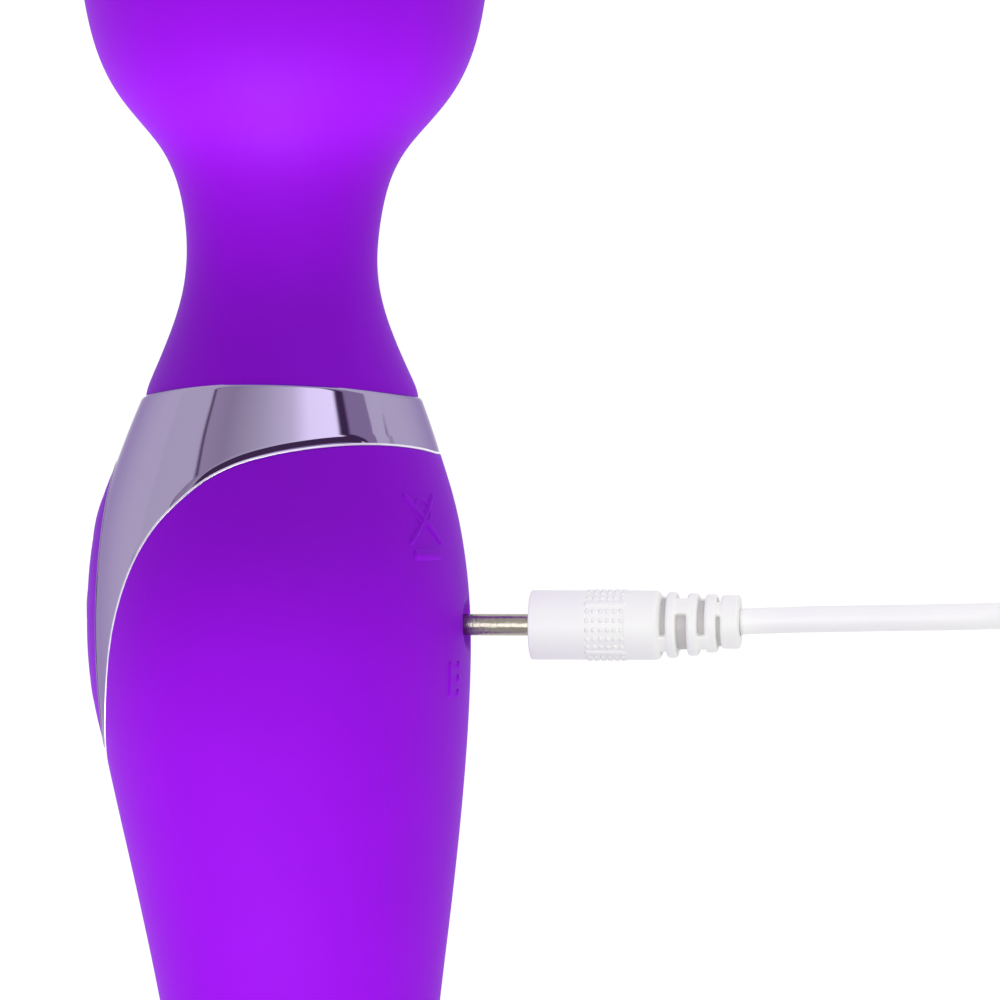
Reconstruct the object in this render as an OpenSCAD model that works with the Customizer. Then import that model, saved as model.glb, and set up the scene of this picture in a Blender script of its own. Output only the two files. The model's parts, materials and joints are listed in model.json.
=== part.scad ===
// Handheld wand massager lying on its side, with its charging cable part-way into the rear port.
// Millimetres. +Y runs along the wand towards the head, -X is the front with the buttons, +X is the
// rear with the charging port, +Z is up. The origin is on the table, under the middle of the wand.

/* [Head] */
// Largest radius of the round head
head_r = 24; // [22:0.5:26]
// Height of the dome above the widest ring of the head
dome_h = 22.5; // [20:0.5:24]
// Thickness of the silicone skin
skin_t = 1.9; // [1.4:0.1:2.1]

/* [Neck] */
// Outer radius of the flexible core in the neck
core_r = 7.4; // [6.5:0.1:7.8]

/* [Buttons] */
// Distance between two neighbouring buttons
button_pitch = 10; // [9.6:0.1:10.4]
// Radius of a button
button_r = 4.2; // [3.5:0.1:4.3]
// How far a button travels
button_travel = 0.5; // [0.3:0.05:0.6]

/* [Charging plug] */
// Outer diameter of the plug's metal barrel
barrel_d = 2.5; // [2.4:0.05:2.5]
// Length of the barrel
barrel_l = 10; // [9.6:0.1:10.4]
// Bare barrel between the wand and the plug's grip
barrel_gap = 7.4; // [7:0.1:7.8]
// Diameter of the plug's grip
grip_d = 8; // [7:0.1:8.4]
// Diameter of the charging cord
cord_d = 3; // [2.8:0.1:3.2]

/* [Hidden] */
$fn = 64;

violet = "#9418dc";
plated = "#b8acc8";
moulded_white = "#f2f2f2";
casing_grey = "#5a5a62";
nickel = "#a8a296";

axis_z = head_r;      // the wand's axis lies one head radius above the table
fit = 0.3;            // gap between the skin and the hard casing, for their flat facets
casing_t = 1.8;       // wall of the hard casing under the skin
skin_in = skin_t + fit;
hard_in = skin_in + casing_t;

// Places along the wand
head_top = 101;
equator = head_top - dome_h;
bottom = -101;
end_round = 12;       // length of the round end of the handle
ring_y = 26.5;        // top edge of the plated ring at the front and rear
ring_lift = 1.35;     // how much higher that edge runs at the sides
link_y = 43;          // middle of the neck
cup_y = 57.6;         // where the hard head starts
port_y = 0.1;         // middle of the charging port

// Outlines, as [place along the wand, distance from the axis]
front_line = [[29, 15.2], [24, 17.4], [19, 19.3], [14.5, 20.8], [10, 21.6], [4, 22.1], [-2, 22.15], [-7, 21.8],
    [-11, 21.2], [-20, 19.3], [-29, 17.25], [-43, 14.3], [-60, 11.4], [-76, 9.7], [-90, 8.7], [-101, 8.2]];
rear_line = [[29, 15], [24, 16.9], [19, 18.5], [14.5, 19.9], [10, 20.8], [3, 21.6], [-2, 21.75], [-8, 21.6],
    [-20, 20.8], [-29, 19.9], [-43, 18.25], [-60, 16.4], [-76, 15.1], [-90, 14.3], [-101, 13.9]];
side_line = [[29, 15.1], [24, 17.2], [19, 19.1], [14.5, 20.9], [10, 22.3], [4, 23.6], [-2, 24], [-10, 23.6],
    [-20, 22.1], [-29, 20.3], [-43, 17.4], [-60, 14.8], [-76, 13], [-90, 12], [-101, 11.6]];
neck_line = [[24, 16.9], [27, 15.85], [30.5, 14.3], [33, 13.25], [36.5, 12], [39.5, 11.3], [42.5, 11.05],
    [46.5, 11.3], [49.5, 11.8], [52.5, 12.7], [55.5, 14.3], [58.5, 16.9], [61, 19], [64, 20.8], [67.5, 22.15],
    [72.5, 23.25], [equator, head_r], [90, 23.4]];
// Lower edge of the plated trim, as [angle from the front, place along the wand]
trim_line = [[0, -17.6], [8, -17], [16, -15.3], [24, -12.4], [30, -9.2], [35, -5.6], [39, -1.2], [43, 2.3],
    [48, 6.1], [57, 11], [66, 14.2], [74, 16.5], [84, 18.3], [96, 19.5], [110, 20.3], [130, 20.8],
    [147, 20.7], [160, 20.4], [180, 19.9]];

// Smooth curve through points [s, v], at s
function chord(p, i) = (p[i + 1][1] - p[i][1]) / (p[i + 1][0] - p[i][0]);
function slope(p, i) = i == 0 ? chord(p, 0) : i == len(p) - 1 ? chord(p, i - 1) :
    let (h0 = abs(p[i][0] - p[i - 1][0]), h1 = abs(p[i + 1][0] - p[i][0]))
    (h1 * chord(p, i - 1) + h0 * chord(p, i)) / (h0 + h1);
function span_of(p, s, up) = max(0, min(len(p) - 2,
    len([for (q = p) if (up ? q[0] <= s : q[0] >= s) 1]) - 1));
function curve(p, s) =
    let (i = span_of(p, s, p[1][0] > p[0][0]), h = p[i + 1][0] - p[i][0], u = (s - p[i][0]) / h)
    p[i][1] * (2 * u ^ 3 - 3 * u ^ 2 + 1) + h * slope(p, i) * (u ^ 3 - 2 * u ^ 2 + u)
    + p[i + 1][1] * (3 * u ^ 2 - 2 * u ^ 3) + h * slope(p, i + 1) * (u ^ 3 - u ^ 2);

// Surface of the handle: a point at an angle from the front, at y, and t below the outside
end_y = bottom + end_round;
function shrink(y, t) = y >= end_y ? 1 : let (u = min(1, (end_y - y) / (end_round - t)))
    max(0, 1 - u ^ 2.2) ^ (1 / 2.2);
function centre_x(y) = (curve(rear_line, y) - curve(front_line, y)) / 2;
function half_x(y, t) = ((curve(rear_line, y) + curve(front_line, y)) / 2 - t) * shrink(y, t);
function half_z(y, t) = (curve(side_line, y) - t) * shrink(y, t);
function on_handle(a, y, t) =
    [centre_x(y) - half_x(y, t) * cos(a), y, axis_z + half_z(y, t) * sin(a)];
function trim_low(a) = curve(trim_line, a > 180 ? 360 - a : a);
function trim_top(a) = ring_y + ring_lift * sin(a) ^ 2;

// Radius of the neck and head at y, and t below the outside
function round_r(y, t) = y <= equator ? curve(neck_line, y) - t :
    (head_r - t) * max(0, 1 - min(1, (y - equator) / (dome_h - t)) ^ 2.2) ^ (1 / 2.2);

// The rounded window in the trim for the control panel
window_y = 2.3;
window_l = 16.8;
window_a = 25.5;
window_cols = [0, 0.25, 0.48, 0.68, 0.84, 0.95, 1];
function window_half(s) = window_l * max(0, 1 - s ^ 3) ^ (1 / 3);

// A closed solid through rings with the same number of points, with a fan at both ends
function mean(p) = [for (k = [0:2]) [for (q = p) q[k]] * [for (q = p) 1] / len(p)];
module stack(rings) {
    n = len(rings[0]);
    m = len(rings);
    polyhedron(concat([for (r = rings) each r], [mean(rings[0]), mean(rings[m - 1])]), concat(
        [for (i = [0:n - 1]) [i, (i + 1) % n, n * m]],
        [for (j = [0:m - 2], i = [0:n - 1], h = [0, 1]) let (k = (i + 1) % n)
            h == 0 ? [j * n + i, (j + 1) * n + i, (j + 1) * n + k] : [j * n + i, (j + 1) * n + k, j * n + k]],
        [for (i = [0:n - 1]) [(m - 1) * n + (i + 1) % n, (m - 1) * n + i, n * m + 1]]));
}
// A curved plate between an outer and an inner grid of points, open all round
module plate(outer, inner) {
    n = len(outer[0]);
    m = len(outer);
    rim = concat([for (i = [0:n - 2]) i], [for (j = [0:m - 2]) j * n + n - 1],
        [for (i = [n - 1:-1:1]) (m - 1) * n + i], [for (j = [m - 1:-1:1]) j * n]);
    polyhedron(concat([for (r = outer) each r], [for (r = inner) each r]), concat(
        [for (j = [0:m - 2], i = [0:n - 2], h = [0, 1]) let (p = j * n + i)
            h == 0 ? [p, p + n, p + n + 1] : [p, p + n + 1, p + 1]],
        [for (j = [0:m - 2], i = [0:n - 2], h = [0, 1]) let (p = m * n + j * n + i)
            h == 0 ? [p, p + n + 1, p + n] : [p, p + 1, p + n + 1]],
        [for (i = [0:len(rim) - 1], h = [0, 1]) let (p = rim[i], q = rim[(i + 1) % len(rim)])
            h == 0 ? [p, q, q + m * n] : [p, q + m * n, p + m * n]]));
}

// A ring of points round p, square to direction d
function unit(v) = v / norm(v);
function tube_ring(p, d, r, n) = let (side = unit(cross(d, abs(d[2]) > 0.9 ? [0, 1, 0] : [0, 0, 1])),
    up = cross(side, d)) [for (i = [0:n - 1]) p + r * (cos(360 * i / n) * side + sin(360 * i / n) * up)];
// A point at u on the smooth line through points
function bend(p, u) = let (i = min(len(p) - 2, floor(u)), f = u - i,
    a = i > 0 ? p[i - 1] : 2 * p[0] - p[1], d = i + 2 < len(p) ? p[i + 2] : 2 * p[i + 1] - p[i])
    p[i] + 0.5 * f * (p[i + 1] - a + f * (2 * a - 5 * p[i] + 4 * p[i + 1] - d
        + f * (3 * (p[i] - p[i + 1]) + d - a)));
module tube(points, steps, r, n) {
    line = [for (i = [0:steps]) bend(points, i * (len(points) - 1) / steps)];
    stack([for (i = [0:steps])
        tube_ring(line[i], unit(line[min(steps, i + 1)] - line[max(0, i - 1)]), r, n)]);
}

// Turns what is drawn round +Z onto the wand's axis
module along_wand(x = 0) translate([x, 0, axis_z]) rotate([-90, 0, 0]) children();
// Turns what is drawn round +Z to point out of the rear at the port
module out_of_port(x) translate([x, port_y, axis_z]) rotate([0, 90, 0]) children();
module disc(r, y0, y1, x = 0) along_wand(x) translate([0, 0, y0]) cylinder(r = r, h = y1 - y0);
module pipe(r_out, r_in, y0, y1, x = 0) difference() {
    disc(r_out, y0, y1, x);
    disc(r_in, y0 - 1, y1 + 1, x);
}
// Revolves a [radius, y] outline round the wand's axis
module turned(points) along_wand() rotate_extrude() polygon(points);
// A box between two corners, measured from the axis height
module block(low, high) translate([low[0], low[1], axis_z + low[2]]) cube(high - low);
// A pin through the front at a button
module at_button(y, r, x0, x1) translate([x0, y, axis_z]) rotate([0, 90, 0]) cylinder(r = r, h = x1 - x0);

/* ---- Handle ---- */
// Rows up the round end and the straight handle, for a surface t below the outside
function end_rows(t) = concat(
    [for (q = [13, 30, 50, 70, 90]) bottom + t + (end_round - t) * (1 - cos(q))], [-76, -62, -50]);

// Columns of the trim, as [angle, which window column, or -1 behind the window]
trim_half = concat([for (i = [0:6]) [window_a * window_cols[i], i]],
    [for (a = [28, 31, 34.5, 38, 42, 46, 51, 57, 65, 74, 84, 95, 108, 122, 136, 151, 166, 180]) [a, -1]]);
trim_all = concat(trim_half,
    [for (i = [len(trim_half) - 2:-1:1]) [360 - trim_half[i][0], trim_half[i][1]]]);

// A ring of the skin: level rows up to the last straight one, then drawn towards the trim's edge
function skin_ring(j, t) = let (rows = end_rows(t), base = len(rows) - 1)
    [for (c = trim_all) let (a = c[0], rise = trim_low(a) - 0.12 - rows[base])
        on_handle(a, j <= base ? rows[j] : rows[base] + rise * (j - base) / 6, t)];
module handle_sleeve() color(violet) {
    last = len(end_rows(0)) + 5;
    difference() {
        stack(concat([for (j = [0:last]) skin_ring(j, 0)], [for (j = [last:-1:0]) skin_ring(j, skin_t)]));
        out_of_port(15) cylinder(r = barrel_d / 2 + 0.06, h = 12);
        out_of_port(30.2) sphere(r = 9);
    }
}

trim_rows = 4;
function trim_ys(c) = let (a = c[0], top = trim_top(a), low = trim_low(a),
    up = c[1] < 0 ? (top + low) / 2 : window_y + window_half(window_cols[c[1]]),
    down = c[1] < 0 ? up : window_y - window_half(window_cols[c[1]])) concat(
    [for (j = [0:trim_rows]) top + (up - top) * j / trim_rows],
    [for (j = [0:trim_rows]) down + (low - down) * j / trim_rows]);

// Where there is no window, the rows on both sides of it are one
function shut(k) = trim_all[k][1] < 0 || trim_all[k][1] == 6;
function at(t, i, j) = let (n = len(trim_all), rows = 2 * trim_rows + 2, k = (i + n) % n)
    t * n * rows + k * rows + (j == trim_rows + 1 && shut(k) ? trim_rows : j);
module chrome_trim() color(plated) {
    n = len(trim_all);
    rows = 2 * trim_rows + 2;
    mid = trim_rows;
    points = [for (t = [0, skin_t], c = trim_all) let (ys = trim_ys(c)) for (y = ys) on_handle(c[0], y, t)];
    quads = concat(
        [for (i = [0:n - 1], j = [0:rows - 2]) if (j != mid)
            [at(0, i, j), at(0, i, j + 1), at(0, i + 1, j + 1), at(0, i + 1, j)]],
        [for (i = [0:n - 1], j = [0:rows - 2]) if (j != mid)
            [at(1, i, j), at(1, i + 1, j), at(1, i + 1, j + 1), at(1, i, j + 1)]],
        [for (i = [0:n - 1]) [at(0, i, 0), at(0, i + 1, 0), at(1, i + 1, 0), at(1, i, 0)]],
        [for (i = [0:n - 1])
            [at(0, i, rows - 1), at(1, i, rows - 1), at(1, i + 1, rows - 1), at(0, i + 1, rows - 1)]],
        [for (i = [0:n - 1]) if (!shut(i) || !shut((i + 1) % n))
            [at(0, i, mid), at(1, i, mid), at(1, i + 1, mid), at(0, i + 1, mid)]],
        [for (i = [0:n - 1]) if (!shut(i) || !shut((i + 1) % n))
            [at(0, i, mid + 1), at(0, i + 1, mid + 1), at(1, i + 1, mid + 1), at(1, i, mid + 1)]]);
    polyhedron(points, [for (q = quads, h = [0, 1]) h == 0 ? [q[0], q[1], q[2]] : [q[0], q[2], q[3]]]);
}

// The panel fills the window and bulges out of it
panel_bulge = 0.6;
window_loop = concat([for (i = [-6:6]) [sign(i) * window_cols[abs(i)], 1]],
    [for (i = [5:-1:-5]) [sign(i) * window_cols[abs(i)], -1]]);
function panel_ring(s, rise) = [for (c = window_loop)
    let (a = c[0] * window_a * s, y = window_y + c[1] * window_half(abs(c[0])) * s)
    on_handle(a, y, s > 0.98 ? -rise : -rise - panel_bulge * (1 - s ^ 2.6))];
module panel_solid(rise, depth) stack(concat(
    [for (s = [0.1, 0.3, 0.5, 0.7, 0.86, 0.95, 0.985]) panel_ring(s, rise)],
    [for (s = [0.985, 0.5, 0.1]) [for (c = window_loop)
        on_handle(c[0] * window_a * s, window_y + c[1] * window_half(abs(c[0])) * s, depth)]]));
button_at = [window_y + button_pitch, window_y, window_y - button_pitch];

module control_panel() color(violet) difference() {
    panel_solid(0, skin_t);
    for (y = button_at) at_button(y, button_r + 0.3, -26, -10);
}

module button(i) color(violet) intersection() {
    panel_solid(0.12, 3.3);
    at_button(button_at[i], button_r, -26, -10);
}
module plus_button() button(0);
module power_button() button(1);
module minus_button() button(2);

board_x = -12.9;      // front face of the circuit board
switch_x = -16.3;     // front face of the switches
module plunger(i) color(casing_grey)
    at_button(button_at[i], 1.2, centre_x(button_at[i]) - half_x(button_at[i], 3.3) + 0.1,
        board_x - 1.7 - button_travel);
module plus_plunger() plunger(0);
module power_plunger() plunger(1);
module minus_plunger() plunger(2);

// Screws that hold the two casings together, as [x, y]
casing_posts = [[2.8, -88.4], [-6.5, -26], [10.5, -26], [3.2, 13.5]];
screw_r = 1.1;
function wall_z(p) = let (u = (p[0] - centre_x(p[1])) / half_x(p[1], hard_in))
    half_z(p[1], hard_in) * sqrt(max(0, 1 - u ^ 2));
function half_grid(side, t) = [for (y = concat(end_rows(t), [-38, -28, -18, -9, 0, 8, 14.5, 19, 24]))
    [for (i = [0:18]) on_handle((side > 0 ? 1 : 181) + i * 178 / 18, y, t)]];
module half_casing(side) difference() {
    union() {
        plate(half_grid(side, skin_in), half_grid(side, hard_in));
        for (p = casing_posts) translate([p[0], p[1], axis_z + (side > 0 ? 0.1 : -wall_z(p) - 0.8)])
            cylinder(r = 3.2, h = wall_z(p) + 0.7);
    }
    for (p = casing_posts) translate([p[0], p[1], axis_z]) {
        if (side > 0) translate([0, 0, 6]) cylinder(r = 2.3, h = 24);
        translate([0, 0, -7]) cylinder(r = screw_r + (side > 0 ? 0.1 : 0), h = 14);
    }
    for (y = button_at) at_button(y, button_r + 0.4, -26, -10);
    out_of_port(12) cylinder(r = 3.2, h = 12);
    translate([-21, -20, axis_z - 0.9]) cube([8, 3.4, 1.8]);
}
module upper_casing() color(casing_grey) half_casing(1);
module lower_casing() color(casing_grey) half_casing(-1);

module casing_screws() color(nickel) for (p = casing_posts) translate([p[0], p[1], axis_z]) difference() {
    union() {
        translate([0, 0, -6]) cylinder(r = screw_r, h = 12.5);
        translate([0, 0, 6]) cylinder(r = 2.1, h = 1.4);
    }
    translate([0, 0, 6.8]) cylinder(r = 1, h = 1, $fn = 6);
}

// Closes the top of the casings and carries the neck's spring
module neck_socket() color(casing_grey) turned([[3.4, 19.5], [10.6, 19.5], [10.6, 24.2], [13.2, 24.2],
    [13.2, 26.2], [8.6, 26.2], [8.6, 28.6], [3.4, 28.6]]);
module seal_ring() color("#202020") along_wand() translate([0, 0, 25.2])
    rotate_extrude() translate([13.8, 0]) circle(r = 0.55, $fn = 16);

module board_carrier() color(casing_grey) {
    block([-10.9, -17, -7], [-9.7, 18.5, 7]);
    for (y = [-15, 15.6], z = [-5.6, 5.6]) at_post(y, z, 1.6, -11.28, -10.9);
    for (z = [-7, 5.8]) block([-9.7, -15, z], [-3, -9, z + 1.2]);
}
module at_post(y, z, r, x0, x1)
    translate([x0, y, axis_z + z]) rotate([0, 90, 0]) cylinder(r = r, h = x1 - x0);
module circuit_board() color("#1d5c34") difference() {
    block([board_x, -17, -7], [board_x + 1.6, 17, 7]);
    for (y = [-15, 15.6], z = [-5.6, 5.6]) at_post(y, z, 0.7, board_x - 1, board_x + 3);
}
module board_screws() color(nickel) for (y = [-15, 15.6], z = [-5.6, 5.6]) {
    at_post(y, z, 0.7, board_x, board_x + 1.58);
    at_post(y, z, 1.2, board_x - 0.7, board_x);
}
module board_chips() color("#18181a") {
    block([board_x - 1.2, -13.6, -3.2], [board_x, -11.6, 3.2]);
    for (z = [-5.6, 4]) block([board_x - 0.9, 6.5, z], [board_x, 8, z + 1.6]);
    for (z = [-5.6, 4]) block([board_x - 0.9, -3.6, z], [board_x, -2, z + 1.6]);
}
module lead_sockets() color(moulded_white) for (y = [-8, 1, 9])
    block([board_x + 1.6, y - 0.1, -5], [board_x + 1.98, y + 3, -1]);
module tact_switches() color("#26262a") for (y = button_at) difference() {
    block([switch_x, y - 2.6, -2.6], [board_x, y + 2.6, 2.6]);
    at_button(y, 1.25, switch_x - 1, board_x - 1);
}
module status_led() color("#dfe8ff") translate([0, 0, axis_z]) {
    translate([board_x - 1, -18.3, -1]) cube([1, 2, 2]);
    translate([-15.5, -18.3, -0.6]) cube([1.6, 1.2, 1.2]);
}

battery_x = 2.8;
module battery() color("#2c6fb5") disc(7, -82.6, -33, battery_x);
module battery_tabs() color(nickel) {
    disc(4.5, -83, -82.6, battery_x);
    disc(3, -33, -32.6, battery_x);
}
module battery_pads() color("#303034") for (y = [-79, -42])
    pipe(7.7, 7.02, y, y + 5, battery_x);
module battery_leads() color("#c22525") for (z = [-1.5, 1.5])
    tube([[battery_x - 1, -32.2, axis_z + z], [-1, -27, axis_z + z * 2], [-5, -17, axis_z + z * 2],
        [-7.5, -8, axis_z - 3 + z * 0.7], [-9, -6.5, axis_z - 3 + z * 0.7]], 14, 0.6, 8);

jack_in = 8;
module dc_jack() color("#222226") difference() {
    union() {
        block([jack_in, port_y - 3.6, -3.6], [16.6, port_y + 3.6, 3.6]);
        out_of_port(16.5) cylinder(r = 2.9, h = 2.7);
    }
    out_of_port(jack_in + 1) cylinder(r = barrel_d / 2 + 0.07, h = 12);
}
module jack_pin() color(nickel) out_of_port(jack_in + 1) union() {
    cylinder(r = 0.35, h = 7);
    translate([0, 0, 7]) sphere(r = 0.35);
}
module jack_leads() color("#2a2a2a") for (z = [-1.5, 1.5])
    tube([[jack_in - 0.15, port_y + 1, axis_z + z], [3, 2, axis_z + z], [-3, 3, axis_z - 2 + z],
        [-8.9, 2.4, axis_z - 3 + z * 0.7]], 12, 0.6, 8);

/* ---- Neck ---- */
module neck_shell(y0, y1) turned(concat(
    [for (i = [0:8]) [round_r(y0 + (y1 - y0) * i / 8, 0), y0 + (y1 - y0) * i / 8]],
    [for (i = [8:-1:0]) [round_r(y0 + (y1 - y0) * i / 8, skin_t), y0 + (y1 - y0) * i / 8]]));
module neck_skin_lower() color(violet) neck_shell(ring_y + ring_lift + 0.05, link_y - 0.02);
module neck_skin_upper() color(violet) neck_shell(link_y + 0.02, cup_y - 0.02);
module spring(y0, y1, turns) stack([for (i = [0:turns * 14]) let (q = i * 360 / 14, r = core_r - 0.7)
    tube_ring([r * cos(q), y0 + (y1 - y0) * i / (turns * 14), axis_z + r * sin(q)],
        unit([-sin(q), (y1 - y0) / (turns * 2 * PI * r), cos(q)]), 0.65, 6)]);
module neck_spring_lower() color(nickel) spring(29.4, link_y - 2.3, 4);
module neck_spring_upper() color(nickel) spring(link_y + 2.3, cup_y - 1.9, 4);
module neck_leads(y0, y1) for (x = [-1.2, 1.2]) disc(0.6, y0, y1, x);
module neck_leads_lower() color("#c22525") neck_leads(19.6, link_y - 0.1);
module neck_leads_upper() color("#c22525") neck_leads(link_y + 0.1, cup_y + 2.6);
module neck_link() color(casing_grey) pipe(core_r + 0.1, 2.6, link_y - 1.6, link_y + 1.6);

/* ---- Head ---- */
dome_q = [0, 14, 28, 42, 55, 67, 78, 86];
function side_rows(y0) = [for (i = [0:9]) y0 + (equator - y0) * i / 10];
function dome_points(t) = [for (q = dome_q)
    [(head_r - t) * cos(q) ^ (2 / 2.2), equator + (dome_h - t) * sin(q) ^ (2 / 2.2)]];
function shell_side(y0, t) = [for (y = side_rows(y0)) [round_r(y, t), y]];
function flip(p) = [for (i = [len(p) - 1:-1:0]) p[i]];

module head_cover() color(violet) turned(concat(shell_side(cup_y, 0), dome_points(0), [[0, head_top]],
    [[0, head_top - skin_t]], flip(dome_points(skin_t)), flip(shell_side(cup_y, skin_t))));
seam_y = equator + 0.2;
post_r = 15.2;
post_angles = [30, 150, 270];
module head_cup() color(casing_grey) {
    turned(concat([[2.6, cup_y - 1.2], [8.4, cup_y - 1.2], [8.4, cup_y + 0.6]],
        [for (y = side_rows(cup_y + 0.6)) [round_r(y, skin_in), y]], [[head_r - skin_in, equator]],
        [[head_r - hard_in, equator]], flip([for (y = side_rows(cup_y + 2.6)) [round_r(y, hard_in), y]]),
        [[2.6, cup_y + 2.6]]));
    for (q = post_angles) along_wand() rotate(q) {
        translate([post_r, 0, 67]) cylinder(r = 1.6, h = 86 - 67);
        translate([post_r, -0.9, 67]) cube([4, 1.8, 10]);
    }
}
module head_cap() color(casing_grey) turned(concat([[head_r - skin_in, seam_y]],
    [for (p = dome_points(skin_in)) if (p[1] > seam_y + 0.5) p], [[0, head_top - skin_in]],
    [[0, head_top - hard_in]], flip([for (p = dome_points(hard_in)) if (p[1] > seam_y + 0.5) p]),
    [[head_r - hard_in, seam_y]]));

can_r = 12;
can_y = [62.4, 84];
module motor_can() color(nickel) turned([[can_r, can_y[0]], [can_r, can_y[1]], [3.1, can_y[1]],
    [3.1, can_y[1] - 1], [can_r - 0.8, can_y[1] - 1], [can_r - 0.8, can_y[0]]]);
module motor_magnets() color("#3c3c40") difference() {
    pipe(can_r - 0.85, 8.9, 66, 81);
    block([-13, 65, -1.5], [13, 82, 1.5]);
}
module motor_end_bell() color("#e6e0d2") pipe(can_r, 1.06, 60.6, can_y[0]);
module motor_bush() color("#b08d57") pipe(3.05, 1.05, 82.6, 85.6);
module motor_bracket() color(casing_grey) difference() {
    disc(17, 86.05, 87.6);
    disc(3.2, 85, 89);
    for (q = post_angles) along_wand() rotate(q) translate([post_r, 0, 85]) cylinder(r = 0.9, h = 4);
    for (x = [-7, 7]) disc(0.9, 85, 89, x);
    for (x = [-1, 1]) along_wand() translate([x * 11.5, 0, 85]) cylinder(r = 2, h = 4);
}
module motor_screws() color(nickel) {
    for (q = post_angles) along_wand() rotate(q) translate([post_r, 0, 0]) machine_screw();
    for (x = [-7, 7]) along_wand() translate([x, 0, 0]) machine_screw();
}
module machine_screw() {
    translate([0, 0, 86.05]) cylinder(r = 0.85, h = 1.6);
    translate([0, 0, 87.6]) cylinder(r = 1.4, h = 0.9);
}
module motor_shaft() color(nickel) disc(1, 60.8, 95);
module armature() color("#b5622e") difference() {
    pipe(8.4, 1, 67, 80);
    for (q = [0:60:300]) along_wand() rotate(q) translate([4.5, -0.9, 66]) cube([6, 1.8, 15]);
}
module commutator() color("#c98a4b") pipe(3, 1, 63.4, 66.4);
module eccentric_weight() color(nickel) difference() {
    union() {
        disc(3, 89.4, 94.6);
        intersection() {
            disc(9, 89.4, 94);
            block([-10, 89, 0], [10, 95, 10]);
        }
    }
    disc(1, 89, 95);
}

/* ---- Charging cable ---- */
grip_x = centre_x(port_y) + half_x(port_y, 0) + barrel_gap;
tip_x = grip_x - barrel_l;
relief_x = grip_x + 15.15;
module plug_barrel() color(nickel) out_of_port(tip_x) difference() {
    cylinder(r = barrel_d / 2, h = barrel_l + 3);
    translate([0, 0, -1]) cylinder(r = 0.8, h = barrel_l + 5);
}
module plug_insulator() color("#1c1c1e") out_of_port(tip_x + 0.3) difference() {
    cylinder(r = 0.8, h = barrel_l + 2);
    translate([0, 0, -1]) cylinder(r = 0.45, h = barrel_l);
}
module plug_grip() color(moulded_white) difference() {
    r = grip_d / 2;
    out_of_port(grip_x) rotate_extrude() polygon([[0, 0], [r - 0.5, 0], [r - 0.15, 0.15], [r, 0.5],
        [r, 14.3], [r - 0.3, 14.85], [r - 0.9, 15.15], [0, 15.15]]);
    out_of_port(grip_x - 1) cylinder(r = barrel_d / 2, h = 4.05);
}
module plug_relief() color(moulded_white) {
    out_of_port(relief_x) rotate_extrude() polygon([[0, 0], [2.8, 0], [2.8, 0.57], [3.8, 0.57], [3.8, 1.82],
        [2.7, 1.82], [2.7, 2.97], [3.6, 2.97], [3.6, 4.27], [2.6, 4.27], [2.6, 5.02], [3.37, 5.02],
        [3.37, 6.42], [2.45, 6.42], [2.45, 6.82], [3.1, 6.82], [3.1, 8.6], [2.6, 9.1], [0, 9.1]]);
    for (b = [[0, -1, 0.6], [1.8, 1, 1.2], [4.25, -1, 0.8], [6.4, 1, 0.45]])
        translate([relief_x + b[0], port_y + (b[1] > 0 ? 1.2 : -3.1), axis_z - 1.2]) cube([b[2], 1.9, 3.9]);
}

cord_route = [[53.3, 0.55, 24], [60, 0.8, 24], [70, 1, 24], [80, 1.2, 23.9], [87.5, 1.5, 21.6],
    [92.5, 1.9, 16.6], [96.2, 2.4, 10.4], [100.8, 3, 4.9], [106.5, 3.7, 2.6]];
coil_c = [112, 23];
tail_route = [[127.4, 24, 9.2], [128.6, 30, 9.3], [129.6, 37, 7], [128.8, 43.5, 4.6], [128, 50.5, 4]];
module charging_cord() color(moulded_white) tube(cord_route, 40, cord_d / 2, 8);
module cord_tail() color(moulded_white) tube(tail_route, 18, cord_d / 2, 8);
module cord_coil() color(moulded_white) translate([coil_c[0], coil_c[1], 0.75]) rotate_extrude()
    polygon([[11.3, 1.4], [12.7, 0], [19.3, 0], [20.7, 1.4], [20.7, 3], [18.9, 8.3], [13.1, 8.3], [11.3, 3]]);
module cord_tie() color(moulded_white) translate([coil_c[0], coil_c[1], 0]) rotate(120) difference() {
    translate([9.9, -3.5, 0]) cube([11.7, 7, 9.8]);
    translate([10.6, -4, 0.65]) cube([10.3, 8, 8.5]);
}
usb_x = 128;
module usb_grip() color(moulded_white) difference() {
    translate([usb_x, 50, 4]) rotate([-90, 0, 0]) linear_extrude(24) polygon([[-7.8, -2.6], [-6.4, -4],
        [6.4, -4], [7.8, -2.6], [7.8, 2.6], [6.4, 4], [-6.4, 4], [-7.8, 2.6]]);
    translate([usb_x - 6, 70, 1.75]) cube([12, 5, 4.5]);
}
module usb_shell() color(nickel) difference() {
    translate([usb_x - 6, 70, 1.75]) cube([12, 16, 4.5]);
    translate([usb_x - 5.7, 69, 2.05]) cube([11.4, 18, 3.9]);
    for (x = [-3.2, 3.2]) translate([usb_x + x - 1.1, 78.4, 5]) cube([2.2, 2.2, 3]);
}
module usb_tongue() color("#1c1c1e") translate([usb_x - 5.6, 70, 4.05]) cube([11.2, 15.2, 1.8]);
module usb_contacts() color("#c9a24a") for (x = [-3.5, -1, 1, 3.5])
    translate([usb_x + x - 0.5, 76, 3.75]) cube([1, 8.4, 0.3]);

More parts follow.
